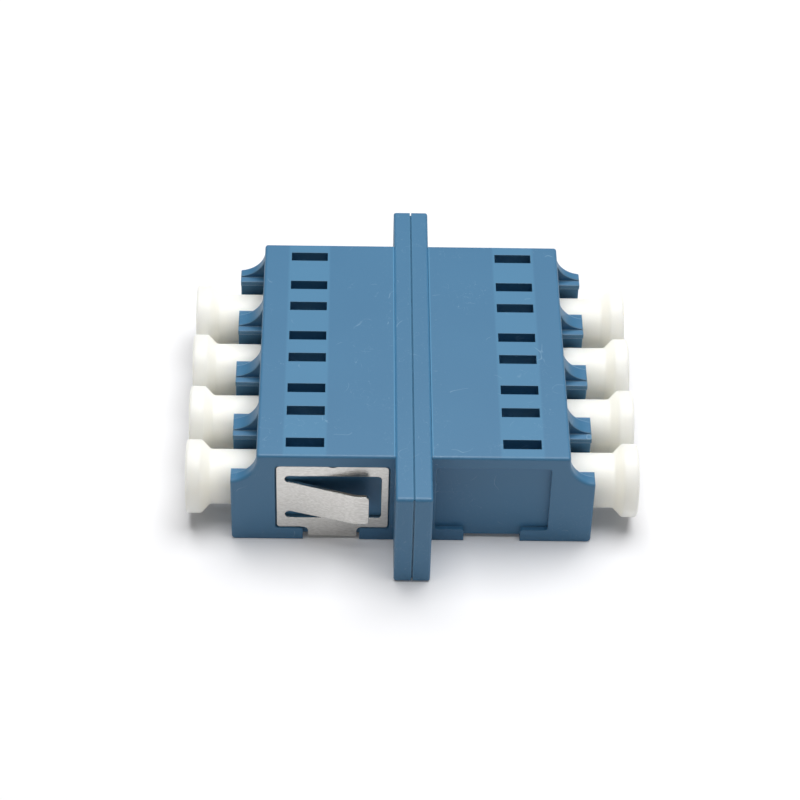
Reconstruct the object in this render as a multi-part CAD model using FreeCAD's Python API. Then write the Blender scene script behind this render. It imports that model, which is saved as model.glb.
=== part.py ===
import FreeCAD, Part
import math
import os

# Fibre adapter with four side-by-side ports on each face, in millimetres.
# X runs along the optical axes, Y across the ports, Z up from the underside.
# Two identical moulded halves meet at X = 0; the left half carries the clip.

V = FreeCAD.Vector
MARGIN = 1.0                # how far cutting tools run past what they cut
NEAR = 0.01                 # how close counts as touching, when edges are picked

# ports
PORT_COUNT = 4
PORT_PITCH = 6.25
PLUG_SIZE = 4.66            # square opening for the plug body
FLOOR_WALL = 1.3            # under the plug opening
RAIL_GAP = 3.7              # between the two rails over the plug
RAIL_HEIGHT = 0.42
LUG_WIDTH = 4.95            # channel for the latch lugs, above the rails
LUG_HEIGHT = 1.92
ROOF_WALL = 1.0
END_WALL = 0.93             # outside the first and last lug channel

# body lengths, each measured from the centre plane
BODY_REACH = 14.4           # floor and walls
ROOF_REACH = 12.32          # roof, set back over the mouths
SCOOP_RADIUS = 2.3
LEDGE_STEP = 0.08           # wall tops over the rail tops
FOOT_RADIUS = 0.35          # lower corner of each mouth end
ROOF_EDGE_RADIUS = 0.24     # round the roof, and down the scoops' outer edges
SOLE_EDGE_RADIUS = 0.1      # round the underside and the mouth end
PARTITION = 1.6             # wall between the two sides, one half of it

# latch windows in the roof
WINDOW_LENGTH = 3.02
WINDOW_WIDTH = 1.02
WINDOW_OFFSET = 1.81        # from the port's centre, either side
WINDOW_SETBACK = 2.27       # from the roof's end
LUG_OVERRUN = 0.45          # lug channel past the windows

# alignment sleeves and the bosses that hold them
FERRULE_DIAMETER = 1.25
SLEEVE_WALL = 0.24
SLEEVE_LENGTH = 6.6
SLEEVE_SLIT = 0.16
SLEEVE_PLAY = 0.03          # round the sleeve
SLEEVE_END_PLAY = 0.1
BOSS_DIAMETER = 2.95
BOSS_LIP = 1.6              # in front of the sleeve
LIP_PLAY = 0.16             # round the ferrule
LIP_CHAMFER = 0.3

# panel flange
FLANGE_HALF = 1.445
FLANGE_EAR = 4.58           # past each side of the body
FLANGE_DROP = 0.06          # below the roof
FLANGE_EDGE_RADIUS = 0.2
FLANGE_CORNER_RADIUS = 0.3
SEAM_GAP = 0.06             # rebate round each half's seam, half its width
SEAM_DEPTH = 0.25
SCREW_HOLE_DIAMETER = 2.3
SCREW_SPACING = 30.4

# recess for the clip, on both sides and under the body
RECESS_START = 0.36         # from the flange
RECESS_LENGTH = 9.08
RECESS_FLOOR = 1.25
RECESS_HEIGHT = 6.95
RECESS_DEPTH = 0.42
RECESS_CORNER = 0.3
NOTCH_START = 2.38          # from the recess's inner end
NOTCH_WIDTH = 4.52
NOTCH_CORNER = 0.2
NOTCH_BEND = 0.1
NOTCH_DEPTH = 0.34          # under the body

# sprung clip, folded from one sheet
SHEET = 0.3
SHEET_PLAY = 0.02           # between sheet and recess floor
CLIP_EDGE_PLAY = 0.06
CLIP_CORNER = 0.3
CLIP_NOTCH_WIDTH = 0.7
CLIP_NOTCH_DEPTH = 0.1
CLIP_NOTCH_PLACE = 4.46     # from the frame's flange end
FRAME_END_BAR = 0.6
FRAME_TOP_BAR = 1.1
FRAME_LOW_BAR = 1.08
FRAME_ROOT_BAR = 0.7
SLOT_WIDTH = 0.72
OPENING_CORNER = 0.35
LEG_ROOT = 0.04             # from the slots' round ends to the leg's fold
LEG_RISE = 1.5              # of the tip over the frame
LEG_TIP = 1.1
LEG_TAPER = 0.1             # each edge, from root to tip
LEG_BEND = 0.6
PANEL_GAP = 2.02            # from the flange to the leg's end
LEG_CORNER = 0.35
STRAP_INNER_PLAY = 0.23     # in the notch, on the flange side
STRAP_OUTER_PLAY = 0.42
STRAP_FILLET = 0.4

# dust caps
CAP_PLAY = 0.05             # cap bore round the boss
CAP_GAP = 1.0               # cap to partition
CAP_NECK_PLAY = 0.13        # neck inside the square opening
CAP_NECK_REACH = 16.15      # from the centre plane
CAP_CONE = 0.72
CAP_HEAD_DIAMETER = 5.9
CAP_HEAD = 1.18
CAP_END_WALL = 2.4
CAP_ROUND = 0.2

# what follows from the sizes above
port_z = FLOOR_WALL + PLUG_SIZE / 2
rail_z = FLOOR_WALL + PLUG_SIZE
rail_top_z = rail_z + RAIL_HEIGHT
lug_top_z = rail_top_z + LUG_HEIGHT
body_height = lug_top_z + ROOF_WALL
ledge_z = rail_top_z + LEDGE_STEP
half_width = PORT_PITCH * (PORT_COUNT - 1) / 2 + LUG_WIDTH / 2 + END_WALL
port_ys = [PORT_PITCH * (i - (PORT_COUNT - 1) / 2) for i in range(PORT_COUNT)]
sleeve_diameter = FERRULE_DIAMETER + 2 * SLEEVE_WALL
pocket_reach = SLEEVE_LENGTH / 2 + SLEEVE_END_PLAY
boss_reach = pocket_reach + BOSS_LIP
recess_x0 = FLANGE_HALF + RECESS_START
recess_x1 = recess_x0 + RECESS_LENGTH
recess_top_z = RECESS_FLOOR + RECESS_HEIGHT
notch_x0 = recess_x0 + NOTCH_START
notch_x1 = notch_x0 + NOTCH_WIDTH
strap_x0 = notch_x0 + STRAP_INNER_PLAY
strap_x1 = notch_x1 - STRAP_OUTER_PLAY
core_half_width = half_width - RECESS_DEPTH


def block(x0, x1, y0, y1, z0, z1):
    return Part.makeBox(x1 - x0, y1 - y0, z1 - z0, V(x0, y0, z0))


def rod(x0, x1, radius, y, z):
    return Part.makeCylinder(radius, x1 - x0, V(x0, y, z), V(1, 0, 0))


def rounded_path(points, radii):
    """Open path through the points, its inner corners rounded by the radii."""
    edges = []
    start = points[0]
    for before, corner, after, radius in zip(points, points[1:], points[2:], radii):
        to_before = (before - corner).normalize()
        to_after = (after - corner).normalize()
        half_angle = to_before.getAngle(to_after) / 2
        reach = radius / math.tan(half_angle)
        centre = corner + (to_before + to_after).normalize() * (radius / math.sin(half_angle))
        middle = centre + (corner - centre).normalize() * radius
        arc_start = corner + to_before * reach
        arc_end = corner + to_after * reach
        edges.append(Part.makeLine(start, arc_start))
        edges.append(Part.Arc(arc_start, middle, arc_end).toShape())
        start = arc_end
    edges.append(Part.makeLine(start, points[-1]))
    return edges


def rounded_outline(points, radii):
    """Closed outline with each corner rounded; a radius of 0 keeps it sharp."""
    count = len(points)
    stops = []
    for i, (corner, radius) in enumerate(zip(points, radii)):
        if radius == 0:
            stops.append((corner, None, corner))
            continue
        to_before = (points[i - 1] - corner).normalize()
        to_after = (points[(i + 1) % count] - corner).normalize()
        half_angle = to_before.getAngle(to_after) / 2
        reach = radius / math.tan(half_angle)
        centre = corner + (to_before + to_after).normalize() * (radius / math.sin(half_angle))
        middle = centre + (corner - centre).normalize() * radius
        stops.append((corner + to_before * reach, middle, corner + to_after * reach))
    edges = []
    for i, (start, middle, end) in enumerate(stops):
        if middle is not None:
            edges.append(Part.Arc(start, middle, end).toShape())
        following = stops[(i + 1) % count][0]
        if (following - end).Length > NEAR:
            edges.append(Part.makeLine(end, following))
    return Part.Wire(edges)


def plate(points, radii, direction):
    return Part.Face(rounded_outline(points, radii)).extrude(direction)


def scoop():
    """What is cut away over the mouths: a hollow round down to the ledges."""
    outside = -BODY_REACH - SCOOP_RADIUS
    round_x = -(ROOF_REACH + SCOOP_RADIUS)
    round_z = ledge_z + SCOOP_RADIUS
    y = half_width + MARGIN
    hollow = Part.makeCylinder(SCOOP_RADIUS, 2 * y, V(round_x, -y, round_z), V(0, 1, 0))
    over_hollow = block(outside, -ROOF_REACH, -y, y, round_z, body_height + MARGIN)
    over_ledge = block(outside, round_x, -y, y, ledge_z, body_height + MARGIN)
    return hollow.fuse([over_hollow, over_ledge])


def body_block():
    """One half's plain body: scooped mouth end and rounded edges."""
    solid = block(-BODY_REACH, -FLANGE_HALF, -half_width, half_width, 0, body_height)
    feet = [e for e in solid.Edges if e.BoundBox.XMax < NEAR - BODY_REACH and e.BoundBox.ZMax < NEAR]
    solid = solid.makeFillet(FOOT_RADIUS, feet).cut(scoop())
    roof = [e for e in solid.Edges
            if e.BoundBox.ZMin > body_height - NEAR and e.BoundBox.XMin < -FLANGE_HALF - NEAR]
    scoops = [e for e in solid.Edges if e.BoundBox.YLength < NEAR
              and e.BoundBox.ZMin > ledge_z - NEAR and e.BoundBox.XMax < NEAR - ROOF_REACH]
    solid = solid.makeFillet(ROOF_EDGE_RADIUS, roof + scoops)
    soles = [e for e in solid.Edges if e.BoundBox.ZMax < NEAR and e.BoundBox.YLength < NEAR]
    return solid.makeFillet(SOLE_EDGE_RADIUS, soles)


def flange():
    """Half of the panel flange, its outer edges rounded and a rebate round its seam."""
    reach = half_width + FLANGE_EAR
    solid = block(-FLANGE_HALF, 0, -reach, reach, 0, body_height - FLANGE_DROP)
    corners = [e for e in solid.Edges if e.BoundBox.XLength > FLANGE_HALF / 2]
    solid = solid.makeFillet(FLANGE_CORNER_RADIUS, corners)
    face_rim = [e for e in solid.Edges if e.BoundBox.XMax < NEAR - FLANGE_HALF]
    solid = solid.makeFillet(FLANGE_EDGE_RADIUS, face_rim)
    rim = block(-SEAM_GAP, MARGIN, -reach - MARGIN, reach + MARGIN, -MARGIN, body_height + MARGIN)
    core = block(-SEAM_GAP, MARGIN, SEAM_DEPTH - reach, reach - SEAM_DEPTH,
                 SEAM_DEPTH, body_height - FLANGE_DROP - SEAM_DEPTH)
    return solid.cut(rim.cut(core))


def port_cuts(y):
    """Everything that one port takes out of the left half."""
    outside = -BODY_REACH - MARGIN
    lug_end = -(ROOF_REACH - WINDOW_SETBACK - WINDOW_LENGTH - LUG_OVERRUN)
    plug = block(outside, -PARTITION, y - PLUG_SIZE / 2, y + PLUG_SIZE / 2, FLOOR_WALL, rail_z)
    gap = block(outside, lug_end, y - RAIL_GAP / 2, y + RAIL_GAP / 2, rail_z, rail_top_z)
    lugs = block(outside, lug_end, y - LUG_WIDTH / 2, y + LUG_WIDTH / 2, rail_top_z, lug_top_z)
    cuts = [plug, gap, lugs]
    window_x0 = -(ROOF_REACH - WINDOW_SETBACK)
    for side in (-1, 1):
        middle = y + side * WINDOW_OFFSET
        cuts.append(block(window_x0, window_x0 + WINDOW_LENGTH, middle - WINDOW_WIDTH / 2,
                          middle + WINDOW_WIDTH / 2, lug_top_z, body_height + MARGIN))
    return cuts


def boss(y):
    return rod(-boss_reach, -PARTITION / 2, BOSS_DIAMETER / 2, y, port_z)


def boss_cuts(y):
    """Sleeve pocket, ferrule hole and its lead-in, from the centre plane out."""
    hole = FERRULE_DIAMETER / 2 + LIP_PLAY
    pocket = rod(-pocket_reach, 0, sleeve_diameter / 2 + SLEEVE_PLAY, y, port_z)
    lip = rod(-boss_reach, -pocket_reach, hole, y, port_z)
    lead_in = Part.makeCone(hole + LIP_CHAMFER, hole, LIP_CHAMFER, V(-boss_reach, y, port_z), V(1, 0, 0))
    return [pocket, lip, lead_in]


def recess_cuts():
    """Clip recess on both sides, and the strap's notch round the underside."""
    outer = [V(-recess_x1, 0, RECESS_FLOOR), V(-recess_x0, 0, RECESS_FLOOR),
             V(-recess_x0, 0, recess_top_z), V(-recess_x1, 0, recess_top_z)]
    cuts = []
    for y in (-half_width - MARGIN, core_half_width):
        face = plate(outer, [RECESS_CORNER] * 4, V(0, MARGIN + RECESS_DEPTH, 0))
        face.translate(V(0, y, 0))
        cuts.append(face)
    side_y = half_width + MARGIN
    over_z = RECESS_FLOOR + NOTCH_CORNER
    round_z = RECESS_FLOOR - NOTCH_CORNER
    slab = block(-notch_x1, -notch_x0, -side_y, side_y, -MARGIN, over_z)
    for x, side in ((-notch_x1, -1), (-notch_x0, 1)):
        round_x = x + side * NOTCH_CORNER
        corner = block(min(x, round_x), max(x, round_x), -side_y, side_y, round_z, over_z)
        curve = Part.makeCylinder(NOTCH_CORNER, 2 * side_y, V(round_x, -side_y, round_z), V(0, 1, 0))
        slab = slab.fuse(corner.cut(curve))
    core = [V(-BODY_REACH, -core_half_width, NOTCH_DEPTH), V(-BODY_REACH, core_half_width, NOTCH_DEPTH),
            V(-BODY_REACH, core_half_width, body_height), V(-BODY_REACH, -core_half_width, body_height)]
    inner = plate(core, [NOTCH_BEND, NOTCH_BEND, 0, 0], V(BODY_REACH, 0, 0))
    cuts.append(slab.cut(inner))
    return cuts


def screw_cuts():
    radius = SCREW_HOLE_DIAMETER / 2
    return [rod(-FLANGE_HALF - MARGIN, MARGIN, radius, side * SCREW_SPACING / 2, body_height / 2)
            for side in (-1, 1)]


def housing_half():
    """The moulded half for the left side; the right one is the same, turned."""
    cuts = recess_cuts() + screw_cuts()
    for y in port_ys:
        cuts += port_cuts(y)
    shell = body_block().fuse(flange()).cut(cuts)
    shell = shell.fuse([boss(y) for y in port_ys])
    shell = shell.cut([cut for y in port_ys for cut in boss_cuts(y)])
    return shell.removeSplitter()


def split_sleeve(y):
    """Ceramic sleeve that lines up two ferrules, slit along its top."""
    x0 = -SLEEVE_LENGTH / 2
    tube = rod(x0, -x0, sleeve_diameter / 2, y, port_z)
    tube = tube.cut(rod(x0 - MARGIN, MARGIN - x0, FERRULE_DIAMETER / 2, y, port_z))
    slit = block(x0 - MARGIN, MARGIN - x0, y - SLEEVE_SLIT / 2, y + SLEEVE_SLIT / 2,
                 port_z, port_z + sleeve_diameter)
    return tube.cut(slit)


def clip_side():
    """Front side of the clip: a frame in the recess with its sprung leg."""
    x1 = -(recess_x0 + CLIP_EDGE_PLAY)
    x0 = -(recess_x1 - CLIP_EDGE_PLAY)
    z0 = RECESS_FLOOR + CLIP_EDGE_PLAY
    z1 = recess_top_z - CLIP_EDGE_PLAY
    inner_y = -(core_half_width + SHEET_PLAY)
    outer_y = inner_y - SHEET
    through = V(0, SHEET, 0)
    frame = plate([V(x0, outer_y, z0), V(x1, outer_y, z0), V(x1, outer_y, z1), V(x0, outer_y, z1)],
                  [CLIP_CORNER] * 4, through)
    slot_x = x0 + FRAME_ROOT_BAR
    leg_x = slot_x + SLOT_WIDTH / 2 + LEG_ROOT
    open_x = x1 - FRAME_END_BAR
    low_z = z0 + FRAME_LOW_BAR
    high_z = z1 - FRAME_TOP_BAR
    opening = plate([V(leg_x, outer_y, low_z), V(open_x, outer_y, low_z),
                     V(open_x, outer_y, high_z), V(leg_x, outer_y, high_z)],
                    [0, OPENING_CORNER, OPENING_CORNER, 0], through)
    cuts = [opening]
    for z in (low_z, high_z - SLOT_WIDTH):
        slot = [V(slot_x, outer_y, z), V(leg_x, outer_y, z),
                V(leg_x, outer_y, z + SLOT_WIDTH), V(slot_x, outer_y, z + SLOT_WIDTH)]
        cuts.append(plate(slot, [SLOT_WIDTH / 2, 0, 0, SLOT_WIDTH / 2], through))
    nick = Part.makeCylinder(CLIP_NOTCH_WIDTH, SHEET, V(x1 - CLIP_NOTCH_PLACE, outer_y,
                             z1 + CLIP_NOTCH_WIDTH - CLIP_NOTCH_DEPTH), V(0, 1, 0))
    cuts.append(nick)
    frame = frame.cut(cuts)
    return frame.fuse(clip_leg(leg_x, inner_y, low_z + SLOT_WIDTH, high_z - SLOT_WIDTH)).removeSplitter()


def clip_leg(x, y, z0, z1):
    """Leg bent out of the frame, its tip parallel to the body again."""
    tip_x = -(FLANGE_HALF + PANEL_GAP)
    path = [V(x - LEG_BEND, y, z0), V(x, y, z0), V(tip_x - LEG_TIP, y - LEG_RISE, z0),
            V(tip_x, y - LEG_RISE, z0)]
    inside = rounded_path(path, [LEG_BEND, LEG_BEND])
    strip = Part.Wire(inside).makeOffset2D(SHEET, 0, True, True)
    if strip.BoundBox.YMin > y - LEG_RISE - SHEET / 2:
        strip = Part.Wire(inside).makeOffset2D(-SHEET, 0, True, True)
    over_y = y - LEG_RISE - SHEET - MARGIN
    sides = plate([V(x - LEG_BEND, over_y, z0), V(x, over_y, z0), V(tip_x, over_y, z0 + LEG_TAPER),
                   V(tip_x, over_y, z1 - LEG_TAPER), V(x, over_y, z1), V(x - LEG_BEND, over_y, z1)],
                  [0, 0, LEG_CORNER, LEG_CORNER, 0, 0], V(0, y - over_y + MARGIN, 0))
    return strip.extrude(V(0, 0, z1 - z0)).common(sides)


def clip_strap():
    """Strap that joins the clip's two sides under the body."""
    across = V(strap_x0 - strap_x1, 0, 0)
    y = core_half_width + SHEET_PLAY
    low_z = NOTCH_DEPTH - SHEET_PLAY
    top_z = RECESS_FLOOR + CLIP_EDGE_PLAY + FRAME_LOW_BAR / 2
    bend = NOTCH_BEND + SHEET_PLAY
    outer = [V(-strap_x0, -y - SHEET, low_z - SHEET), V(-strap_x0, y + SHEET, low_z - SHEET),
             V(-strap_x0, y + SHEET, top_z), V(-strap_x0, -y - SHEET, top_z)]
    inner = [V(-strap_x0, -y, low_z), V(-strap_x0, y, low_z),
             V(-strap_x0, y, top_z + MARGIN), V(-strap_x0, -y, top_z + MARGIN)]
    round_outer = plate(outer, [bend + SHEET, bend + SHEET, 0, 0], across)
    return round_outer.cut(plate(inner, [bend, bend, 0, 0], across))


def mounting_clip():
    """Spring clip of one folded sheet: two framed sides and the strap."""
    front = clip_side()
    back = front.mirror(V(0, 0, 0), V(0, 1, 0))
    solid = clip_strap().fuse([front, back]).removeSplitter()
    z = RECESS_FLOOR + CLIP_EDGE_PLAY
    joints = []
    for edge in solid.Edges:
        box = edge.BoundBox
        at_strap = min(abs(box.XMin + strap_x0), abs(box.XMin + strap_x1)) < NEAR
        if at_strap and box.XLength < NEAR and box.ZLength < NEAR and abs(box.ZMin - z) < NEAR:
            joints.append(edge)
    return solid.makeFillet(STRAP_FILLET, joints)


def dust_cap():
    """Cap for a right-hand port, hollow where it slips over the boss."""
    inner = PARTITION + CAP_GAP
    bore = BOSS_DIAMETER / 2 + CAP_PLAY
    neck = PLUG_SIZE / 2 - CAP_NECK_PLAY
    head = CAP_HEAD_DIAMETER / 2
    end = CAP_NECK_REACH + CAP_CONE + CAP_HEAD
    points = [V(inner, 0, bore), V(inner, 0, neck), V(CAP_NECK_REACH, 0, neck),
              V(CAP_NECK_REACH + CAP_CONE, 0, head), V(end, 0, head), V(end, 0, 0),
              V(end - CAP_END_WALL, 0, 0), V(end - CAP_END_WALL, 0, bore)]
    outline = rounded_outline(points, [0, CAP_ROUND, 0, 0, CAP_ROUND, 0, 0, CAP_ROUND])
    return Part.Face(outline).revolve(V(0, 0, 0), V(1, 0, 0), 360)


def write(name, shape):
    solids = shape.Solids
    if len(solids) != 1 or not shape.isValid():
        raise ValueError(name + " is not one valid solid")
    solids[0].exportStep("parts/" + name + ".step")


def turned(shape):
    copy = shape.copy()
    copy.rotate(V(0, 0, 0), V(0, 0, 1), 180)
    return copy


os.makedirs("parts", exist_ok=True)
left = housing_half()
write("housing_left", left)
write("housing_right", turned(left))
write("mounting_clip", mounting_clip())
cap = dust_cap()
for number, y in enumerate(port_ys, start=1):
    write("split_sleeve_%d" % number, split_sleeve(y))
    placed = cap.copy()
    placed.translate(V(0, y, port_z))
    write("dust_cap_right_%d" % number, placed)
    opposite = turned(cap)
    opposite.translate(V(0, y, port_z))
    write("dust_cap_left_%d" % number, opposite)
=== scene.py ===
# %% [markdown]
# # A fibre adapter with four ports a side
# The part joins two rows of small fibre plugs through a patch panel. Two moulded
# halves are welded face to face, a folded spring clip holds them in the panel, and
# soft dust caps fill the ports until they are used. The solids come from CAD, so the
# first step only loads them: every object then sits at the origin, in metres.

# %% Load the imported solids
import bmesh
import bpy
import math
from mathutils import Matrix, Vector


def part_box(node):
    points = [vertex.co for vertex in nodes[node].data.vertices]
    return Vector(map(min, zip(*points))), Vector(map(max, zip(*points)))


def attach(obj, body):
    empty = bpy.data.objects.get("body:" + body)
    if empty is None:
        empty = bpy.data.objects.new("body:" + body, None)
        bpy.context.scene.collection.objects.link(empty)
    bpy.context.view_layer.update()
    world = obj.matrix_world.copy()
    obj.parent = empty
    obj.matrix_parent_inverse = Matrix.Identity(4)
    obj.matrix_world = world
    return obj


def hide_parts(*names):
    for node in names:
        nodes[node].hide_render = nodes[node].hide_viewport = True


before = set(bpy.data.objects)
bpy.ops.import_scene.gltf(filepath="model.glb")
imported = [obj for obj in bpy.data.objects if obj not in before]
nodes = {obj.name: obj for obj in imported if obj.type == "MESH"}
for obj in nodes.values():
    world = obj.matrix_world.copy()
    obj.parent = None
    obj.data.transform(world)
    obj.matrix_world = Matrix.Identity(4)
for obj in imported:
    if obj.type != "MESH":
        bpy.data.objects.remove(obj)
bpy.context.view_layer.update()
MM = 0.001

# %% [markdown]
# ## Camera
# The camera looks from above the front edge, so that the roofs, the clip's side and the
# caps at both ends all show. Its long lens keeps the four ports nearly parallel, where
# a short one close by would spread them like a fan.

# %% Place the camera
CAMERA_PLACE = (-5.305 * MM, -167.609 * MM, 162.194 * MM)
CAMERA_TURN = (46.542, -1.21, -0.363)
CAMERA_LENS = 125.45
SENSOR_WIDTH = 36
NEAREST_SEEN = 10 * MM


def in_radians(angles):
    return [math.radians(angle) for angle in angles]


camera_data = bpy.data.cameras.new("camera")
camera_data.lens = CAMERA_LENS
camera_data.sensor_width = SENSOR_WIDTH
camera_data.clip_start = NEAREST_SEEN
camera = bpy.data.objects.new("camera", camera_data)
camera.location = CAMERA_PLACE
camera.rotation_euler = in_radians(CAMERA_TURN)
bpy.context.scene.collection.objects.link(camera)
bpy.context.scene.camera = camera
print("lens:", CAMERA_LENS, "mm")

# %% [markdown]
# ## Floor and light
# The part lies on a white sheet under one large soft light overhead. The walls are
# then lit mostly by the light that the sheet throws back up, which is why they are
# darker than the roofs and why the proud leg of the clip shades the metal above it.
# The sheet adds a little glow of its own for the camera and for reflections only, so
# it looks white without putting more light on the part.


# %% Helpers for node trees
def new_material(name):
    material = bpy.data.materials.new(name)
    material.use_nodes = True
    tree = material.node_tree
    return material, tree, tree.nodes["Principled BSDF"]


def add(tree, kind, **settings):
    node = tree.nodes.new(kind)
    for key, value in settings.items():
        setattr(node, key, value)
    return node


def feed(tree, value, socket):
    """Links another node's socket to this one, or sets it to a plain value."""
    if isinstance(value, bpy.types.NodeSocket):
        tree.links.new(value, socket)
    else:
        socket.default_value = value


def maths(tree, operation, *operands, clamp=False):
    """A Math node; each operand is a socket or a plain number."""
    node = add(tree, "ShaderNodeMath", operation=operation, use_clamp=clamp)
    for socket, value in zip(node.inputs, operands):
        feed(tree, value, socket)
    return node.outputs[0]


def times(tree, first, second):
    return maths(tree, "MULTIPLY", first, second)


def plus(tree, first, second):
    return maths(tree, "ADD", first, second)


def opposite(tree, mask):
    """A mask that is 1 where the given one is 0."""
    return maths(tree, "SUBTRACT", 1.0, mask)


# %% The white sheet
FLOOR_COLOUR = (0.86, 0.86, 0.875, 1)
FLOOR_ROUGHNESS = 0.9
FLOOR_SHINE = 0.1
FLOOR_GLOW = 0.05
FLOOR_SIZE = 3.0

bpy.ops.object.select_all(action="DESELECT")
bpy.ops.mesh.primitive_plane_add(size=FLOOR_SIZE, location=(0, 0, 0))
floor = bpy.context.object
floor.name = "floor"
sheet, tree, shader = new_material("white_sheet")
shader.inputs["Base Color"].default_value = FLOOR_COLOUR
shader.inputs["Roughness"].default_value = FLOOR_ROUGHNESS
shader.inputs["Specular IOR Level"].default_value = FLOOR_SHINE
path = add(tree, "ShaderNodeLightPath")
seen = maths(tree, "MAXIMUM", path.outputs["Is Camera Ray"], path.outputs["Is Glossy Ray"])
seen = maths(tree, "MAXIMUM", seen, path.outputs["Is Transmission Ray"])
glow = add(tree, "ShaderNodeEmission")
tree.links.new(times(tree, seen, FLOOR_GLOW), glow.inputs["Strength"])
both = add(tree, "ShaderNodeAddShader")
tree.links.new(shader.outputs[0], both.inputs[0])
tree.links.new(glow.outputs[0], both.inputs[1])
tree.links.new(both.outputs[0], tree.nodes["Material Output"].inputs["Surface"])
floor.data.materials.append(sheet)
print("floor:", FLOOR_SIZE, "m")

# %% Overhead light and dim surroundings
LIGHT_PLACE = (0.05, 0.12, 0.6)
LIGHT_TURN = (-11, 5, 0)
LIGHT_SIZE = 0.55
LIGHT_POWER = 5.0
SKY_STRENGTH = 0.12
WHITE = (1, 1, 1, 1)

light_data = bpy.data.lights.new("overhead", "AREA")
light_data.size = LIGHT_SIZE
light_data.energy = LIGHT_POWER
light = bpy.data.objects.new("overhead", light_data)
light.location = LIGHT_PLACE
light.rotation_euler = in_radians(LIGHT_TURN)
bpy.context.scene.collection.objects.link(light)

world = bpy.data.worlds.new("surroundings")
bpy.context.scene.world = world
world.use_nodes = True
tree = world.node_tree
sky = tree.nodes["Background"]
sky.inputs["Color"].default_value = WHITE
sky.inputs["Strength"].default_value = SKY_STRENGTH
backdrop = add(tree, "ShaderNodeBackground")
backdrop.inputs["Color"].default_value = WHITE
path = add(tree, "ShaderNodeLightPath")
mix = add(tree, "ShaderNodeMixShader")
tree.links.new(path.outputs["Is Camera Ray"], mix.inputs["Fac"])
tree.links.new(sky.outputs[0], mix.inputs[1])
tree.links.new(backdrop.outputs[0], mix.inputs[2])
tree.links.new(mix.outputs[0], tree.nodes["World Output"].inputs["Surface"])
bpy.context.scene.view_settings.view_transform = "Standard"
print("light:", LIGHT_POWER, "W over", LIGHT_SIZE, "m")

# %% [markdown]
# ## Effects that several finishes share
# Moulded plastic, ceramic and sheet metal differ in colour, but a close look finds the
# same few things on all of them: edges that are never truly sharp, a fine grain, a
# slow drift in tone, hairline scratches and specks. Each is built once as a node group
# with its own sizes in metres, so that every material can use it at its own scale.


# %% Helpers that make node groups
def new_group(name, inputs, outputs):
    """An empty shader group with number inputs (name, value) and outputs (name, kind)."""
    group = bpy.data.node_groups.new(name, "ShaderNodeTree")
    vector = group.interface.new_socket(
        name="Vector", in_out="INPUT", socket_type="NodeSocketVector")
    vector.hide_value = True
    for label, value in inputs:
        socket = group.interface.new_socket(
            name=label, in_out="INPUT", socket_type="NodeSocketFloat")
        socket.default_value = value
    for label, kind in outputs:
        group.interface.new_socket(name=label, in_out="OUTPUT", socket_type=kind)
    return group, add(group, "NodeGroupInput"), add(group, "NodeGroupOutput")


def noise(tree, vector, scale, detail=2.0):
    """A noise pattern; scale is a socket or a number, in features per metre."""
    node = add(tree, "ShaderNodeTexNoise")
    node.inputs["Detail"].default_value = detail
    tree.links.new(vector, node.inputs["Vector"])
    feed(tree, scale, node.inputs["Scale"])
    return node.outputs["Fac"]


def between(tree, value, low, high):
    """0 below low and 1 above high, with a smooth step from one to the other."""
    node = add(tree, "ShaderNodeMapRange", interpolation_type="SMOOTHSTEP")
    tree.links.new(value, node.inputs["Value"])
    feed(tree, low, node.inputs["From Min"])
    feed(tree, high, node.inputs["From Max"])
    return node.outputs["Result"]


def within(tree, value, low, high):
    """1 below low and 0 above high, with a smooth step from one to the other."""
    return opposite(tree, between(tree, value, low, high))


def away_from(tree, value, middle):
    """How far the value is from the middle, on either side."""
    return maths(tree, "ABSOLUTE", maths(tree, "SUBTRACT", value, middle))


# %% Soft edges
# The bevel node turns the normal near an edge as a small radius would. How far it has
# turned also says how near the edge is, which serves as a mask for painted highlights
# on the rims.
BEVEL_SAMPLES = 6
EDGE_GAIN = 4.0

soft_edges, entry, leave = new_group(
    "soft_edges", [("Radius", 0.08 * MM)],
    [("Normal", "NodeSocketVector"), ("Edge", "NodeSocketFloat")])
bevel = add(soft_edges, "ShaderNodeBevel", samples=BEVEL_SAMPLES)
soft_edges.links.new(entry.outputs["Radius"], bevel.inputs["Radius"])
surface = add(soft_edges, "ShaderNodeNewGeometry")
agree = add(soft_edges, "ShaderNodeVectorMath", operation="DOT_PRODUCT")
soft_edges.links.new(bevel.outputs["Normal"], agree.inputs[0])
soft_edges.links.new(surface.outputs["Normal"], agree.inputs[1])
turned = opposite(soft_edges, agree.outputs["Value"])
near_edge = maths(soft_edges, "MULTIPLY", turned, EDGE_GAIN, clamp=True)
soft_edges.links.new(bevel.outputs["Normal"], leave.inputs["Normal"])
soft_edges.links.new(near_edge, leave.inputs["Edge"])
print("group:", soft_edges.name)

# %% Grain and slow drift of tone
GRAIN_DETAIL = 3.0
DRIFT_TO_GRAIN = 45.0

grain, entry, leave = new_group(
    "grain", [("Size", 0.2 * MM)],
    [("Height", "NodeSocketFloat"), ("Tone", "NodeSocketFloat")])
scale = maths(grain, "DIVIDE", 1.0, entry.outputs["Size"])
fine = noise(grain, entry.outputs["Vector"], scale, GRAIN_DETAIL)
slow = noise(grain, entry.outputs["Vector"], maths(grain, "DIVIDE", scale, DRIFT_TO_GRAIN))
grain.links.new(fine, leave.inputs["Height"])
grain.links.new(slow, leave.inputs["Tone"])
print("group:", grain.name)

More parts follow.
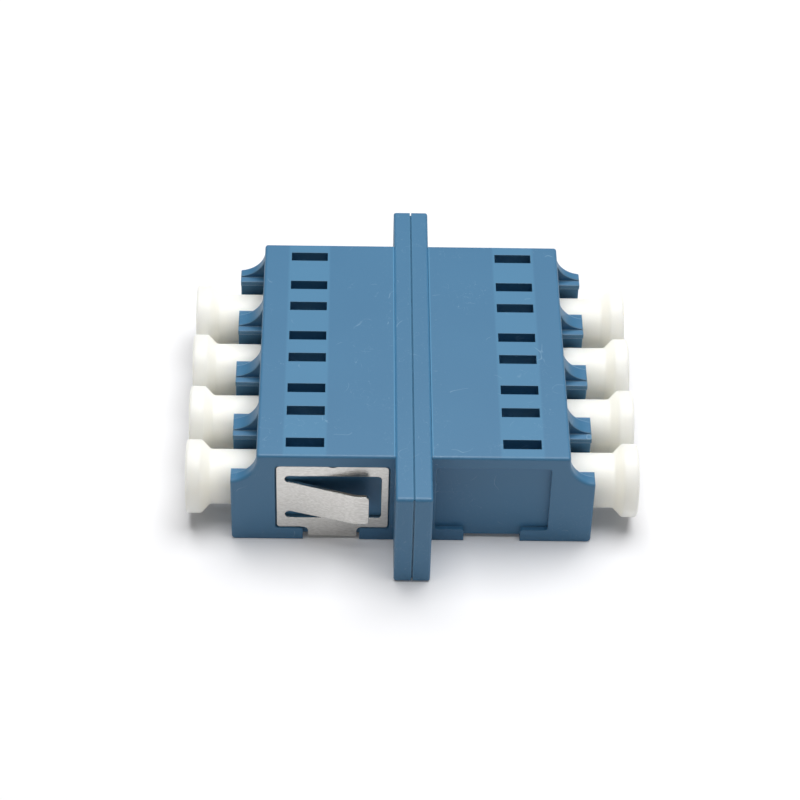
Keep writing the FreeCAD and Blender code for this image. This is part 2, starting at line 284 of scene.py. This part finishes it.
# %% Hairline scratches
# A thin band round the middle value of a smooth noise runs as long curved lines.
# A second, finer noise keeps only short stretches of them: the more the larger Share is.
LINE_DETAIL = 1.0
LINE_MIDDLE, LINE_WIDTH = 0.5, 0.006
STRETCHES_TO_LINES = 1.7
KEEP_NONE, KEEP_PER_SHARE, KEEP_FADE = 0.8, 0.5, 0.08

scratches, entry, leave = new_group(
    "scratches", [("Size", 3.0 * MM), ("Share", 0.3)], [("Mask", "NodeSocketFloat")])
vector = entry.outputs["Vector"]
scale = maths(scratches, "DIVIDE", 1.0, entry.outputs["Size"])
off_line = away_from(scratches, noise(scratches, vector, scale, LINE_DETAIL), LINE_MIDDLE)
hair = within(scratches, off_line, 0.0, LINE_WIDTH)
stretches = noise(scratches, vector, times(scratches, scale, STRETCHES_TO_LINES))
lowered = times(scratches, entry.outputs["Share"], KEEP_PER_SHARE)
limit = maths(scratches, "SUBTRACT", KEEP_NONE, lowered)
kept = between(scratches, stretches, limit, plus(scratches, limit, KEEP_FADE))
scratches.links.new(times(scratches, hair, kept), leave.inputs["Mask"])
print("group:", scratches.name)

# %% Specks
# Each cell of a Voronoi pattern has a dot at its middle and a random colour. Only the
# cells whose red is under Share show their dot.
SPECK_SPACING = 6.0
DOT_CORE, DOT_RIM = 0.04, 0.12

specks, entry, leave = new_group(
    "specks", [("Size", 0.12 * MM), ("Share", 0.2)], [("Mask", "NodeSocketFloat")])
cells = add(specks, "ShaderNodeTexVoronoi")
specks.links.new(entry.outputs["Vector"], cells.inputs["Vector"])
spacing = times(specks, entry.outputs["Size"], SPECK_SPACING)
specks.links.new(maths(specks, "DIVIDE", 1.0, spacing), cells.inputs["Scale"])
dot = within(specks, cells.outputs["Distance"], DOT_CORE, DOT_RIM)
pick = add(specks, "ShaderNodeSeparateColor")
specks.links.new(cells.outputs["Color"], pick.inputs["Color"])
chosen = maths(specks, "LESS_THAN", pick.outputs[0], entry.outputs["Share"])
specks.links.new(times(specks, dot, chosen), leave.inputs["Mask"])
print("group:", specks.name)

# %% Helpers that place the groups
# A Mix node has inputs for every kind of data. These are the ones for colours.
MIX_INPUTS, MIX_RESULT = (0, 6, 7), 2


def place(tree, group, vector=None, **values):
    """The group as a node, fed by a vector and given its own numbers or sockets."""
    node = add(tree, "ShaderNodeGroup", node_tree=group)
    if vector is not None:
        tree.links.new(vector, node.inputs["Vector"])
    for label, value in values.items():
        feed(tree, value, node.inputs[label])
    return node


def mixed(tree, kind, share, first, second):
    """A colour mix; share and both colours are sockets or plain values."""
    node = add(tree, "ShaderNodeMix", data_type="RGBA", blend_type=kind)
    for index, value in zip(MIX_INPUTS, (share, first, second)):
        feed(tree, value, node.inputs[index])
    return node.outputs[MIX_RESULT]


def stretched(tree, vector, turn, scale):
    """The vector turned by degrees on each axis and scaled, so that a pattern runs one way."""
    node = add(tree, "ShaderNodeMapping")
    node.inputs["Rotation"].default_value = in_radians(turn)
    node.inputs["Scale"].default_value = scale
    tree.links.new(vector, node.inputs["Vector"])
    return node.outputs["Vector"]


def uneven(tree, height, base, gain):
    """A roughness that starts at the base and rises with the grain's height."""
    return plus(tree, times(tree, height, gain), base)


def dress(tree, shader, colour, rough, height, relief, normal=None):
    """Puts colour, roughness and a relief of this height in metres on the shader."""
    bump = add(tree, "ShaderNodeBump")
    bump.inputs["Distance"].default_value = relief
    tree.links.new(height, bump.inputs["Height"])
    if normal is not None:
        tree.links.new(normal, bump.inputs["Normal"])
    tree.links.new(colour, shader.inputs["Base Color"])
    tree.links.new(rough, shader.inputs["Roughness"])
    tree.links.new(bump.outputs["Normal"], shader.inputs["Normal"])


# %% [markdown]
# ## The housing's plastic
# The halves are moulded in a satin blue plastic. Its colour is built up in layers over
# one base, so that each can be changed without touching the others: a slow drift in
# tone, a band of painted light where the inserts for the latch windows met the roof and
# left it slightly sunken, painted highlights on the rims and most of all at the mouths,
# then painted light in the joint and the seam at the flange, and last the scuffs of
# handling.

# %% Base colour, band and rims
HOUSING_BLUE = (0.0495, 0.175, 0.318, 1)
PALE_BLUE = (0.35, 0.55, 0.7, 1)
DRIFT_DARK, DRIFT_LIGHT = (0.95, 0.95, 0.96, 1), (1.05, 1.05, 1.04, 1)
ROOF_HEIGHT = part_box("housing_left")[1].z
ROOF_SKIN = 0.05 * MM
BAND_FROM, BAND_TO, BAND_SOFT = 6.85 * MM, 10.25 * MM, 0.12 * MM
BAND_PAINTED_LIGHT = (1.19, 1.17, 1.13, 1)
MOUTH_FROM, MOUTH_SOFT = 12.2 * MM, 0.1 * MM
EDGE_RADIUS, MOUTH_EDGE = 0.09 * MM, 0.18 * MM
RIM_HIGHLIGHT, MOUTH_HIGHLIGHT = 0.12, 0.3

plastic, tree, shader = new_material("moulded_blue")
where = add(tree, "ShaderNodeTexCoord").outputs["Object"]
axes = add(tree, "ShaderNodeSeparateXYZ")
tree.links.new(where, axes.inputs["Vector"])
reach = maths(tree, "ABSOLUTE", axes.outputs["X"])
skin = place(tree, grain, where, Size=0.16 * MM)
drift = mixed(tree, "MIX", skin.outputs["Tone"], DRIFT_DARK, DRIFT_LIGHT)
colour = mixed(tree, "MULTIPLY", 1.0, HOUSING_BLUE, drift)

on_roof = maths(tree, "GREATER_THAN", axes.outputs["Z"], ROOF_HEIGHT - ROOF_SKIN)
past_start = between(tree, reach, BAND_FROM - BAND_SOFT, BAND_FROM + BAND_SOFT)
past_end = between(tree, reach, BAND_TO - BAND_SOFT, BAND_TO + BAND_SOFT)
band = times(tree, maths(tree, "SUBTRACT", past_start, past_end), on_roof)
# Painted light: the band is made paler, as the slightly sunken roof there tilts towards the light.
colour = mixed(tree, "MIX", band, colour, mixed(tree, "MULTIPLY", 1.0, colour, BAND_PAINTED_LIGHT))

at_mouths = between(tree, reach, MOUTH_FROM, MOUTH_FROM + MOUTH_SOFT)
edge_radius = plus(tree, times(tree, at_mouths, MOUTH_EDGE - EDGE_RADIUS), EDGE_RADIUS)
edges = place(tree, soft_edges, Radius=edge_radius)
# Painted highlight: the rims are mixed towards pale blue where the edge turns, more at the mouths.
rim_highlight = plus(tree, times(tree, at_mouths, MOUTH_HIGHLIGHT), RIM_HIGHLIGHT)
colour = mixed(tree, "MIX", times(tree, rim_highlight, edges.outputs["Edge"]), colour, PALE_BLUE)
print("band on the roof:", BAND_FROM / MM, "to", BAND_TO / MM, "mm")

# %% The joint beside the flange, and the seam between the halves
# The plastic is slightly milky, so light seeps into narrow places from their sides.
# The step beside the flange and the inside of the seam are made paler to stand for it:
# this is painted light over the shade in them. The rims beside the seam are paler too,
# partly wear and partly a painted highlight.
TOP_DEPTH = 0.35 * MM
FLANGE_EDGE = 1.445 * MM
JOINT_CORE, JOINT_FADE = 0.03 * MM, 0.14 * MM
JOINT_PAINTED_LIGHT = (1.5, 1.5, 1.45, 1)
ROOF_HALF = 12.6 * MM
SEAM_WALL, SEAM_RIM = 0.07 * MM, 0.2 * MM
SEAM_SOFT = 0.02 * MM
SEAM_PAINTED_LIGHT = (1.1, 1.15, 1.15, 1)
SEAM_RIM_WEAR_AND_HIGHLIGHT = (1.15, 1.13, 1.1, 1)
SEAM_LOWER_PAINTED_LIGHT = 0.9

near_top = maths(tree, "GREATER_THAN", axes.outputs["Z"], ROOF_HEIGHT - TOP_DEPTH)
joint = within(tree, away_from(tree, reach, FLANGE_EDGE), JOINT_CORE, JOINT_FADE)
across = maths(tree, "ABSOLUTE", axes.outputs["Y"])
joint = times(tree, joint, maths(tree, "LESS_THAN", across, ROOF_HALF))
# Painted light: the step beside the flange is made paler near the top, over its shade.
colour = mixed(tree, "MULTIPLY", times(tree, joint, near_top), colour, JOINT_PAINTED_LIGHT)

by_seam = within(tree, reach, SEAM_WALL, SEAM_RIM)
# Partly wear, partly painted highlight: the rims beside the seam are made paler.
colour = mixed(tree, "MULTIPLY", by_seam, colour, SEAM_RIM_WEAR_AND_HIGHLIGHT)
in_seam = within(tree, reach, SEAM_WALL - SEAM_SOFT, SEAM_WALL)
# Painted light: the inside of the seam is made paler on top and mixed towards pale blue lower down,
# over the shade in the groove.
colour = mixed(tree, "MULTIPLY", times(tree, in_seam, near_top), colour, SEAM_PAINTED_LIGHT)
lower_seam = times(tree, in_seam, opposite(tree, near_top))
colour = mixed(tree, "MIX", times(tree, lower_seam, SEAM_LOWER_PAINTED_LIGHT), colour, PALE_BLUE)
print("seam: paler up to", SEAM_RIM / MM, "mm from its middle")

# %% Scuffs
# Long hairs run anywhere. Short marks and most dots keep to rubbed places: some patches
# of their own, and the strip beside the flange, where fingers hold the part.
PATCH_SIZE = 5.5 * MM
PATCH_LOW, PATCH_HIGH = 0.5, 0.64
FLANGE_NEAR, FLANGE_FAR, FLANGE_RUB = 1.2 * MM, 3.4 * MM, 0.7
SCUFF_SHARE = 0.26
DOTS_ANYWHERE, DOTS_RUBBED = 0.08, 0.4

patches = between(tree, noise(tree, where, 1 / PATCH_SIZE), PATCH_LOW, PATCH_HIGH)
by_flange = within(tree, reach, FLANGE_NEAR, FLANGE_FAR)
rubbed = maths(tree, "MAXIMUM", patches, times(tree, by_flange, FLANGE_RUB))
hairs = place(tree, scratches, where, Size=3.2 * MM, Share=0.45)
marks = place(tree, scratches, where, Size=0.8 * MM, Share=0.75)
marks = times(tree, marks.outputs["Mask"], rubbed)
scuffs = maths(tree, "MAXIMUM", hairs.outputs["Mask"], marks)
colour = mixed(tree, "MIX", times(tree, scuffs, SCUFF_SHARE), colour, PALE_BLUE)
dots = place(tree, specks, where, Size=0.05 * MM, Share=0.22)
strength = plus(tree, times(tree, rubbed, DOTS_RUBBED), DOTS_ANYWHERE)
colour = mixed(tree, "MIX", times(tree, dots.outputs["Mask"], strength), colour, PALE_BLUE)
print("scuffed patches:", PATCH_SIZE / MM, "mm")

# %% Sheen and grain of the plastic
# The inserts' steel is coarser, so the band is a little rougher than the rest.
PLASTIC_ROUGHNESS, PLASTIC_UNEVEN, BAND_ROUGHER = 0.36, 0.12, 0.06
PLASTIC_RELIEF = 0.006 * MM

height = skin.outputs["Height"]
rough = uneven(tree, height, PLASTIC_ROUGHNESS, PLASTIC_UNEVEN)
rough = plus(tree, rough, times(tree, band, BAND_ROUGHER))
dress(tree, shader, colour, rough, height, PLASTIC_RELIEF, edges.outputs["Normal"])
print("plastic:", plastic.name)

# %% [markdown]
# ## The clip's sheet
# The clip is punched from bright spring strip and folded. The strip keeps a fine rolled
# grain that runs askew along the leg, so the grain comes from a noise stretched one
# way, and the punched edges, rounded where they rolled over, get a painted highlight
# that makes them a little brighter. The metal is smooth enough to mirror the leg in the
# bar above it, which shows how far it stands out.

# %% Spring steel
STEEL = (0.68, 0.665, 0.635, 1)
STEEL_DARK = (0.5, 0.485, 0.455, 1)
STEEL_BRIGHT = (0.78, 0.77, 0.74, 1)
GRAIN_TURN = (0, 35, 0)
GRAIN_STRETCH, HAIR_STRETCH = (0.22, 1, 1), (0.5, 1, 1)
STREAK_LOW, STREAK_HIGH = 0.3, 0.7
CLOUD_SHARE, HAIR_SHARE = 0.5, 0.3
STEEL_ROUGHNESS, STEEL_UNEVEN = 0.16, 0.12
STEEL_RELIEF = 0.004 * MM

steel, tree, shader = new_material("spring_steel")
shader.inputs["Metallic"].default_value = 1.0
where = add(tree, "ShaderNodeTexCoord").outputs["Object"]
rolled = place(tree, grain, stretched(tree, where, GRAIN_TURN, GRAIN_STRETCH), Size=0.09 * MM)
fine = place(tree, grain, where, Size=0.22 * MM)
edges = place(tree, soft_edges, Radius=0.07 * MM)
height = rolled.outputs["Height"]
streak = between(tree, height, STREAK_LOW, STREAK_HIGH)
colour = mixed(tree, "MIX", streak, STEEL_DARK, STEEL)
colour = mixed(tree, "MIX", times(tree, fine.outputs["Tone"], CLOUD_SHARE), colour, STEEL)
# Painted highlight: the rounded edges are mixed towards the bright steel colour.
colour = mixed(tree, "MIX", edges.outputs["Edge"], colour, STEEL_BRIGHT)
along = stretched(tree, where, GRAIN_TURN, HAIR_STRETCH)
hairs = place(tree, scratches, along, Size=1.1 * MM, Share=0.5)
colour = mixed(tree, "MIX", times(tree, hairs.outputs["Mask"], HAIR_SHARE), colour, STEEL_BRIGHT)
rough = uneven(tree, height, STEEL_ROUGHNESS, STEEL_UNEVEN)
dress(tree, shader, colour, rough, height, STEEL_RELIEF, edges.outputs["Normal"])
print("steel:", steel.name)

# %% [markdown]
# ## The sleeves' ceramic
# The sleeves that line up the ferrules are ground zirconia, glassy and slightly warm.
# They sit deep in the bosses, so a fine grinding grain is all the pattern they need.

# %% Ground ceramic
CERAMIC = (0.86, 0.855, 0.82, 1)
CERAMIC_SHADE = (0.8, 0.795, 0.75, 1)
NO_TURN, GRIND_STRETCH = (0, 0, 0), (6, 1, 1)
CERAMIC_ROUGHNESS, CERAMIC_UNEVEN = 0.14, 0.12
CERAMIC_RELIEF = 0.001 * MM

ceramic, tree, shader = new_material("ground_ceramic")
where = add(tree, "ShaderNodeTexCoord").outputs["Object"]
ground = place(tree, grain, stretched(tree, where, NO_TURN, GRIND_STRETCH), Size=0.12 * MM)
height = ground.outputs["Height"]
colour = mixed(tree, "MIX", ground.outputs["Tone"], CERAMIC_SHADE, CERAMIC)
rough = uneven(tree, height, CERAMIC_ROUGHNESS, CERAMIC_UNEVEN)
dress(tree, shader, colour, rough, height, CERAMIC_RELIEF)
print("ceramic:", ceramic.name)

# %% [markdown]
# ## The caps' soft plastic
# The caps are milky polyethylene. Light that enters their upper side comes out again
# lower down, so their undersides stay warm and pale: that is subsurface scattering. A
# few dark specks and a slow drift keep the big pale faces from looking like plaster.

# %% Milky plastic
CAP_CREAM = (0.93, 0.92, 0.865, 1)
CAP_WARM = (0.9, 0.885, 0.82, 1)
CAP_SPECK = (0.45, 0.43, 0.38, 1)
SPECK_SHARE = 0.3
MILK_DEPTH = 4.0 * MM
MILK_TINT = (1.0, 0.9, 0.7)
CAP_ROUGHNESS, CAP_UNEVEN = 0.38, 0.16
CAP_RELIEF = 0.008 * MM

cream, tree, shader = new_material("milky_plastic")
shader.subsurface_method = "BURLEY"
shader.inputs["Subsurface Weight"].default_value = 1.0
shader.inputs["Subsurface Radius"].default_value = MILK_TINT
shader.inputs["Subsurface Scale"].default_value = MILK_DEPTH
where = add(tree, "ShaderNodeTexCoord").outputs["Object"]
skin = place(tree, grain, where, Size=0.14 * MM)
height = skin.outputs["Height"]
colour = mixed(tree, "MIX", skin.outputs["Tone"], CAP_WARM, CAP_CREAM)
dots = place(tree, specks, where, Size=0.06 * MM, Share=0.03)
colour = mixed(tree, "MIX", times(tree, dots.outputs["Mask"], SPECK_SHARE), colour, CAP_SPECK)
rough = uneven(tree, height, CAP_ROUGHNESS, CAP_UNEVEN)
dress(tree, shader, colour, rough, height, CAP_RELIEF)
print("caps:", cream.name)

# %% Give the solids their finishes
FINISHES = {"housing": plastic, "mounting": steel, "split": ceramic, "dust": cream}

for name, node in nodes.items():
    node.data.materials.clear()
    node.data.materials.append(FINISHES[name.split("_")[0]])
print("finished:", ", ".join(sorted(nodes)))

# %% [markdown]
# ## Dust caps
# A cap is a short tube with a flared head to pull on, moulded in one piece and blind at
# the head. It begins as a cylinder the size of its neck. The outer face is extruded
# twice, for the flare and for the head, the inner face is inset and pushed in for the
# bore, and the rims are bevelled, because soft plastic never leaves the mould sharp.

# %% Sizes of one cap, from the solid it stands for
NECK_RADIUS = 2.2 * MM
NECK_END = 16.15 * MM
FLARE = 0.72 * MM
BORE_RADIUS = 1.525 * MM
END_WALL = 2.4 * MM
RIM_RADIUS, RIM_SEGMENTS = 0.2 * MM, 4
FLARE_RADIUS, FLARE_SEGMENTS = 0.12 * MM, 3
GATE_RADIUS, GATE_DEPTH = 0.55 * MM, 0.06 * MM
GATE_ROUND, GATE_SEGMENTS = GATE_DEPTH / 3, 2
CAP_SIDES = 96

low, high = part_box("dust_cap_right_1")
cap_start, cap_end = low.x, high.x
head_radius = (high.y - low.y) / 2
head_start = NECK_END + FLARE
bore_end = cap_end - END_WALL
print("cap:", round((cap_end - cap_start) / MM, 2), "mm long, head", round(head_radius / MM, 2), "mm")

# %% Helpers for choosing and editing
FACING = 0.99
RING_NEAR = 0.005 * MM
SMOOTH_ANGLE = math.radians(35)


def choose(piece):
    """Selects one object alone."""
    bpy.ops.object.select_all(action="DESELECT")
    piece.select_set(True)
    bpy.context.view_layer.objects.active = piece


def start_editing(piece):
    choose(piece)
    bpy.ops.object.mode_set(mode="EDIT")


def smooth_and_leave():
    """Turns all faces outwards, leaves edit mode and smooths all but sharp edges."""
    bpy.ops.mesh.select_all(action="SELECT")
    bpy.ops.mesh.normals_make_consistent(inside=False)
    bpy.ops.object.mode_set(mode="OBJECT")
    bpy.ops.object.shade_smooth_by_angle(angle=SMOOTH_ANGLE)


def edit_mesh(kind):
    """The mesh being edited, with nothing selected, in this select mode."""
    bpy.ops.mesh.select_mode(type=kind)
    bpy.ops.mesh.select_all(action="DESELECT")
    return bmesh.from_edit_mesh(bpy.context.object.data)


def select_items(shape, items):
    """Selects these edges or faces and says how many they are."""
    for item in items:
        item.select_set(True)
    shape.select_flush_mode()
    bmesh.update_edit_mesh(bpy.context.object.data)
    return len(items)


def select_end(side):
    """Selects the flat end of the cap that faces -X (side -1) or +X (side 1)."""
    shape = edit_mesh("FACE")
    ends = [face for face in shape.faces if face.normal.x * side > FACING]
    select_items(shape, [max(ends, key=lambda face: face.calc_center_median().x * side)])


def on_ring(vertex, x, radius):
    off_axis = math.hypot(vertex.co.y, vertex.co.z)
    return abs(vertex.co.x - x) < RING_NEAR and abs(off_axis - radius) < RING_NEAR


def select_rings(rings):
    """Selects the ring edges at these (x, radius) places."""
    shape = edit_mesh("EDGE")
    return select_items(shape, [
        edge for edge in shape.edges
        if any(all(on_ring(vertex, *ring) for vertex in edge.verts) for ring in rings)])


def pull(distance, widen=1.0):
    """Extrudes the selected end along X and scales it about the axis."""
    bpy.ops.mesh.extrude_region_move(TRANSFORM_OT_translate={"value": (distance, 0, 0)})
    if widen != 1.0:
        bpy.ops.transform.resize(value=(1, widen, widen), center_override=(0, 0, 0))


# %% Model one cap on the X axis
bpy.ops.object.select_all(action="DESELECT")
bpy.ops.mesh.primitive_cylinder_add(
    vertices=CAP_SIDES, radius=NECK_RADIUS, depth=NECK_END - cap_start,
    location=((cap_start + NECK_END) / 2, 0, 0), rotation=(0, math.radians(90), 0))
cap = bpy.context.object
bpy.ops.object.transform_apply(location=True, rotation=True, scale=True)
start_editing(cap)
select_end(1)
pull(FLARE, head_radius / NECK_RADIUS)
pull(cap_end - head_start)
select_end(1)
bpy.ops.mesh.inset(thickness=head_radius - GATE_RADIUS)
pull(-GATE_DEPTH)
select_end(-1)
bpy.ops.mesh.inset(thickness=NECK_RADIUS - BORE_RADIUS)
pull(bore_end - cap_start)
print("faces before the rims:", len(cap.data.polygons))

# %% Round its rims
rims = select_rings([(cap_end, head_radius), (cap_start, NECK_RADIUS), (bore_end, BORE_RADIUS)])
bpy.ops.mesh.bevel(offset=RIM_RADIUS, segments=RIM_SEGMENTS, affect="EDGES")
flare = select_rings([(head_start, head_radius), (NECK_END, NECK_RADIUS)])
bpy.ops.mesh.bevel(offset=FLARE_RADIUS, segments=FLARE_SEGMENTS, affect="EDGES")
gate = select_rings([(cap_end, GATE_RADIUS), (cap_end - GATE_DEPTH, GATE_RADIUS)])
bpy.ops.mesh.bevel(offset=GATE_ROUND, segments=GATE_SEGMENTS, affect="EDGES")
smooth_and_leave()
print("ring edges:", rims, flare, gate, "faces:", len(cap.data.polygons))

# %% Copy it to all eight ports
# Every copy has a mesh of its own, and its place is put into that mesh, so that each
# object stays at the origin as the CAD solids do.
PORTS = (1, 2, 3, 4)

for side, turn in (("right", 0), ("left", 180)):
    for port in PORTS:
        solid = "dust_cap_%s_%d" % (side, port)
        low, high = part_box(solid)
        piece = cap.copy()
        piece.data = cap.data.copy()
        piece.name = "soft_cap_%s_%d" % (side, port)
        bpy.context.scene.collection.objects.link(piece)
        piece.rotation_euler = (0, 0, math.radians(turn))
        piece.location = (0, (low.y + high.y) / 2, (low.z + high.z) / 2)
        choose(piece)
        bpy.ops.object.transform_apply(location=True, rotation=True, scale=True)
        piece.data.materials.append(cream)
        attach(piece, "cap_%s_%d" % (side, port))
        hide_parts(solid)
bpy.data.objects.remove(cap)
print("caps:", 2 * len(PORTS))

# %% [markdown]
# ## The spring clip
# The clip is one strip of sheet steel: two framed sides, a leg sprung out of each, and
# a strap under the body that joins them. Sheet metal is easy to model the way it is
# made. One side begins as a flat plate. Its window is punched out of it, the leg and
# the strap are extruded from its edges, and each fold is a spin about the line round
# which the sheet bends. A mirror then gives the other side.

# %% Sizes of the clip that its solid doesn't tell
# The ease keeps the outline a hair inside the solid, so that the gap in the recess shows.
CLIP_SHEET = 0.3 * MM
CLIP_CORNER = 0.3 * MM
CLIP_EASE = 0.05 * MM
CLIP_FOOT = 1.31 * MM
LOW_BAR, TOP_BAR, END_BAR, ROOT_BAR = 1.08 * MM, 1.1 * MM, 0.6 * MM, 0.7 * MM
SLOT_WIDTH = 0.72 * MM
SLOT_ROUND = 0.499 * SLOT_WIDTH
WINDOW_CORNER = 0.35 * MM
NICK_RADIUS, NICK_DEPTH, NICK_PLACE = 0.7 * MM, 0.1 * MM, 4.46 * MM
NICK_SIDES = 96
LEG_FROM_SLOT = 0.4 * MM
LEG_RISE = 1.5 * MM
LEG_END_GAP = 1.6 * MM
LEG_TIP = 1.1 * MM
LEG_TAPER = 0.1 * MM
LEG_BEND = 0.6 * MM
LEG_CORNER = 0.35 * MM
STRAP_FROM, STRAP_TO = 2.55 * MM, 6.42 * MM
STRAP_FILLET = 0.4 * MM
STRAP_BEND = 0.12 * MM
FOLD_STEPS = 6
CORNER_SEGMENTS, FILLET_SEGMENTS = 10, 8

clip_low, clip_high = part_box("mounting_clip")
left_x, right_x = clip_low.x, clip_high.x
side_outer = clip_low.y + LEG_RISE
side_inner = side_outer + CLIP_SHEET
print("clip side:", round((right_x - left_x) / MM, 2), "by",
      round((clip_high.z - CLIP_FOOT) / MM, 2), "mm")

# %% Helpers for plates
NEAR = 0.001 * MM


def select_where(kind, test):
    """Selects the edges or faces whose every corner passes the test."""
    shape = edit_mesh(kind)
    items = shape.edges if kind == "EDGE" else shape.faces
    select_items(shape, [item for item in items if all(test(vertex.co) for vertex in item.verts)])


def round_edge(x, z, radius, segments):
    """Rounds the edge that runs along Y at this place of the mesh being edited."""
    select_where("EDGE", lambda co: abs(co.x - x) < NEAR and abs(co.z - z) < NEAR)
    bpy.ops.mesh.bevel(offset=radius, segments=segments, affect="EDGES")


def add_plate(low, high, radius, corners):
    """A box between two corners, rounded at these (x, z) places."""
    bpy.ops.object.select_all(action="DESELECT")
    bpy.ops.mesh.primitive_cube_add(
        size=1, location=[(a + b) / 2 for a, b in zip(low, high)],
        scale=[b - a for a, b in zip(low, high)])
    bpy.ops.object.transform_apply(location=True, rotation=True, scale=True)
    plate = bpy.context.object
    start_editing(plate)
    for x, z in corners:
        round_edge(x, z, radius, CORNER_SEGMENTS)
    bpy.ops.object.mode_set(mode="OBJECT")
    return plate


def punch(plate, tool):
    """Cuts the tool's shape out of the plate and removes the tool."""
    choose(plate)
    cut = plate.modifiers.new("punch", "BOOLEAN")
    cut.operation = "DIFFERENCE"
    cut.solver = "EXACT"
    cut.object = tool
    bpy.ops.object.modifier_apply(modifier=cut.name)
    bpy.data.objects.remove(tool)


# %% The flat side
edge_left, edge_right, edge_top = left_x + CLIP_EASE, right_x - CLIP_EASE, clip_high.z - CLIP_EASE
side = add_plate(
    (edge_left, side_outer, CLIP_FOOT), (edge_right, side_inner, edge_top),
    CLIP_CORNER, [(x, z) for x in (edge_left, edge_right) for z in (CLIP_FOOT, edge_top)])
print("side plate:", len(side.data.polygons), "faces")

# %% The strap, extruded from the lower edge and folded under the body
strap_near, strap_far = right_x - STRAP_FROM, right_x - STRAP_TO
fold_z = clip_low.z + CLIP_SHEET + STRAP_BEND
fold_y = side_inner + STRAP_BEND

start_editing(side)
for x in (strap_near, strap_far):
    bpy.ops.mesh.select_all(action="SELECT")
    bpy.ops.mesh.bisect(plane_co=(x, 0, 0), plane_no=(1, 0, 0))
select_where("FACE", lambda co: (
    abs(co.z - CLIP_FOOT) < NEAR and strap_far - NEAR < co.x < strap_near + NEAR))
bpy.ops.mesh.extrude_region_move(TRANSFORM_OT_translate={"value": (0, 0, fold_z - CLIP_FOOT)})
bpy.ops.mesh.spin(
    steps=FOLD_STEPS, angle=math.radians(-90), center=(0, fold_y, fold_z), axis=(1, 0, 0))
bpy.ops.mesh.extrude_region_move(TRANSFORM_OT_translate={"value": (0, -fold_y, 0)})
bpy.ops.mesh.delete(type="FACE")
for x in (strap_near, strap_far):
    round_edge(x, CLIP_FOOT, STRAP_FILLET, FILLET_SEGMENTS)
bpy.ops.object.mode_set(mode="OBJECT")
print("with strap:", len(side.data.polygons), "faces")

# %% Punch the window, the slots and the nick
root_x = left_x + ROOT_BAR
leg_x = root_x + LEG_FROM_SLOT
window_x = right_x - END_BAR
low_z, high_z = CLIP_FOOT + LOW_BAR, clip_high.z - TOP_BAR
before, behind = side_outer - CLIP_SHEET, side_inner + CLIP_SHEET

punch(side, add_plate(
    (leg_x, before, low_z), (window_x, behind, high_z),
    WINDOW_CORNER, [(window_x, low_z), (window_x, high_z)]))
for z in (low_z, high_z - SLOT_WIDTH):
    punch(side, add_plate(
        (root_x, before, z), (leg_x + SLOT_WIDTH, behind, z + SLOT_WIDTH),
        SLOT_ROUND, [(root_x, z), (root_x, z + SLOT_WIDTH)]))
bpy.ops.object.select_all(action="DESELECT")
bpy.ops.mesh.primitive_cylinder_add(
    vertices=NICK_SIDES, radius=NICK_RADIUS, depth=3 * CLIP_SHEET,
    rotation=(math.radians(90), 0, 0),
    location=(right_x - NICK_PLACE, side_outer, edge_top + NICK_RADIUS - NICK_DEPTH))
punch(side, bpy.context.object)
print("punched:", len(side.data.polygons), "faces")

# %% The leg, extruded from between the slots and bent out
# Each bend is a spin about the line that lies one bend radius off the sheet: outside it
# at the root, behind it at the tip. The leg narrows a little on its way.
leg_low, leg_high = low_z + SLOT_WIDTH, high_z - SLOT_WIDTH
leg_middle = (leg_low + leg_high) / 2
narrower = 1 - 2 * LEG_TAPER / (leg_high - leg_low)
tip_x = right_x - LEG_END_GAP
slope = math.atan2(LEG_RISE, tip_x - LEG_TIP - leg_x)
run_length = (LEG_RISE - 2 * LEG_BEND * (1 - math.cos(slope))) / math.sin(slope)
run = (run_length * math.cos(slope), -run_length * math.sin(slope), 0)
bend_end = leg_x + 2 * LEG_BEND * math.sin(slope) + run[0]

start_editing(side)
select_where("FACE", lambda co: (
    abs(co.x - leg_x) < NEAR and leg_low - NEAR < co.z < leg_high + NEAR))
bpy.ops.mesh.spin(
    steps=FOLD_STEPS, angle=slope, axis=(0, 0, 1), center=(leg_x, side_inner - LEG_BEND, 0))
bpy.ops.mesh.extrude_region_move(TRANSFORM_OT_translate={"value": run})
bpy.ops.transform.resize(value=(1, 1, narrower), center_override=(0, 0, leg_middle))
bpy.ops.mesh.spin(
    steps=FOLD_STEPS, angle=-slope, axis=(0, 0, 1),
    center=(bend_end, side_inner - LEG_RISE + LEG_BEND, 0))
bpy.ops.mesh.extrude_region_move(TRANSFORM_OT_translate={"value": (tip_x - bend_end, 0, 0)})
for z in (leg_low + LEG_TAPER, leg_high - LEG_TAPER):
    round_edge(tip_x, z, LEG_CORNER, FILLET_SEGMENTS)
bpy.ops.object.mode_set(mode="OBJECT")
print("leg slope:", round(math.degrees(slope), 1), "degrees")

# %% The other side
choose(side)
twin = side.modifiers.new("twin", "MIRROR")
twin.use_axis = (False, True, False)
twin.merge_threshold = NEAR
bpy.ops.object.modifier_apply(modifier=twin.name)
start_editing(side)
smooth_and_leave()
side.name = "folded_clip"
side.data.materials.append(steel)
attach(side, "adapter")
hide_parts("mounting_clip")
print("clip:", len(side.data.polygons), "faces")
